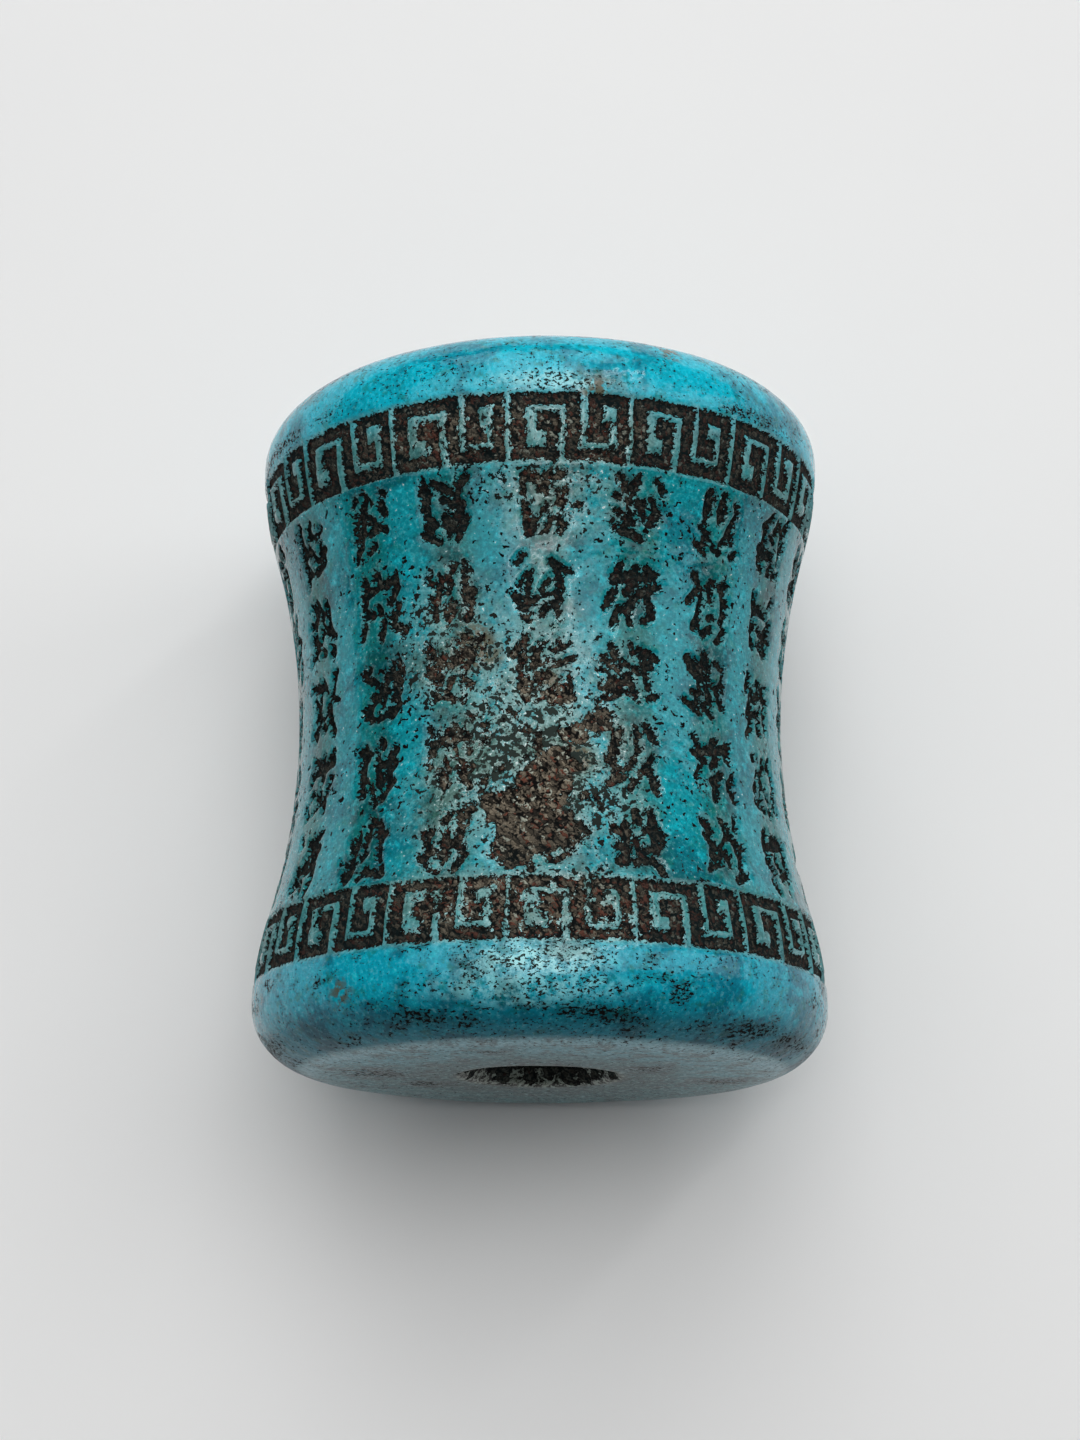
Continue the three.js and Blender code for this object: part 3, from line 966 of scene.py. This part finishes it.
def glaze_material():
    n = GlazeNodes()
    bare, brink_shade, lip_highlight = bare_places(n)
    pits = small_pits(n)
    gone = n.most(bare, pits)

    base = with_grain(n, with_end_faces(n, outside_colour(n)), lip_highlight)
    pit_floor = n.mix(n.wear, PIT_FLOOR, WORN_PIT_FLOOR)
    colour = n.mix(gone, base, n.mix(bare, pit_floor, body_colour(n, brink_shade)))
    # Painted shade: the bore beyond its mouths is painted nearly black
    bore_shade = n.times(n.core, n.span(n.from_middle, *BORE_SHADE_ZONE))
    colour = n.mix(n.times(bore_shade, 0.95), colour, BLACK)
    n.link(colour, n.shader.inputs["Base Color"])

    n.link(roughness(n, gone), n.shader.inputs["Roughness"])
    n.shader.inputs["IOR"].default_value = 1.43
    dull = n.times(n.math("SUBTRACT", 1.0, n.face), n.times(n.foot, 0.9))
    n.link(n.blend(n.most(gone, dull), 0.5, 0.12), n.shader.inputs["Specular IOR Level"])

    height = surface_height(n, bare, pits)
    bump = n.node("ShaderNodeBump", {"Strength": 0.8, "Distance": 0.05 * MM, "Height": height})
    n.link(bump, n.shader.inputs["Normal"])
    return n.material


def floor_material():
    n = Nodes("pale_floor")
    place = n.node("ShaderNodeTexCoord", output=3)
    mottle = n.noise(place, 40.0, 3.0)
    colour = n.mix(mottle, rgb(0.86, 0.86, 0.86), rgb(0.90, 0.90, 0.895))
    n.link(colour, n.shader.inputs["Base Color"])
    n.shader.inputs["Roughness"].default_value = 0.9
    return n.material


def build_floor():
    reach = 1.5
    mesh = bpy.data.meshes.new("floor")
    corners = [(-reach, -reach, 0), (reach, -reach, 0), (reach, reach, 0), (-reach, reach, 0)]
    mesh.from_pydata(corners, [], [(0, 1, 2, 3)])
    floor = bpy.data.objects.new("floor", mesh)
    bpy.context.scene.collection.objects.link(floor)
    floor.data.materials.append(floor_material())


def aim(thing, target):
    direction = Vector(target) - thing.location
    thing.rotation_euler = direction.to_track_quat("-Z", "Y").to_euler()


# White lights, aimed at the middle of the bead: place and size in metres, and power in watts
LIGHTS = {
    "overhead": ((-0.11, 0.12, 0.441), (0.547, 0.55), 0.86),
    "key": ((0, 0.135, 0.455), (0.27, 0.52), 0.78),
    "strip_right": ((0.128, 0.12, 0.43), (0.026, 0.55), 0.36),
    "side_right": ((0.345, 0.09, 0.29), (0.16, 0.63), 0.44),
    "far_key": ((0, 0.42, 0.26), (0.5, 0.2), 0.48),
}


def build_lights():
    for name, (place, size, power) in LIGHTS.items():
        light = bpy.data.lights.new(name, "AREA")
        light.shape = "RECTANGLE"
        light.size, light.size_y = size
        light.energy = power
        thing = bpy.data.objects.new(name, light)
        thing.location = place
        aim(thing, (0, 0, AXIS_HEIGHT * MM))
        bpy.context.scene.collection.objects.link(thing)
    world = bpy.data.worlds.new("studio")
    world.use_nodes = True
    world.node_tree.nodes["Background"].inputs["Color"].default_value = (0.5, 0.5, 0.5, 1)
    world.node_tree.nodes["Background"].inputs["Strength"].default_value = 0.06
    bpy.context.scene.world = world


# Camera, from the photograph: a long lens below the middle of the upright bead
CAMERA_DISTANCE = 93.2
CAMERA_DROP = 15.31             # degrees below the plane across the bead's middle
FOCAL_PIXELS = 2388
FRAME_HEIGHT = 1440
SENSOR = 36.0
CENTRE_BELOW_FRAME = 23         # pixels that the bead's centre lies under the frame's centre


def build_camera():
    data = bpy.data.cameras.new("camera")
    data.sensor_fit = "VERTICAL"
    data.sensor_height = SENSOR
    data.lens = FOCAL_PIXELS / FRAME_HEIGHT * SENSOR
    data.clip_start = 0.005
    data.clip_end = 10
    camera = bpy.data.objects.new("camera", data)
    drop = math.radians(CAMERA_DROP)
    centre = Vector((0, 0, AXIS_HEIGHT)) * MM
    back = Vector((0, -math.sin(drop), math.cos(drop)))
    camera.location = centre + back * CAMERA_DISTANCE * MM
    up = Vector((0, math.cos(drop), math.sin(drop)))
    rise = CENTRE_BELOW_FRAME / FOCAL_PIXELS * CAMERA_DISTANCE * MM
    aim(camera, centre + up * rise)
    bpy.context.scene.collection.objects.link(camera)
    bpy.context.scene.camera = camera


def build_view():
    settings = bpy.context.scene.view_settings
    settings.view_transform = "Standard"
    settings.look = "None"
    settings.exposure = 0.0


build_camera()
build_view()
build_floor()
build_lights()
bead = build_bead()
bead.data.materials.append(glaze_material())
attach(bead, "root")
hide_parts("bead")
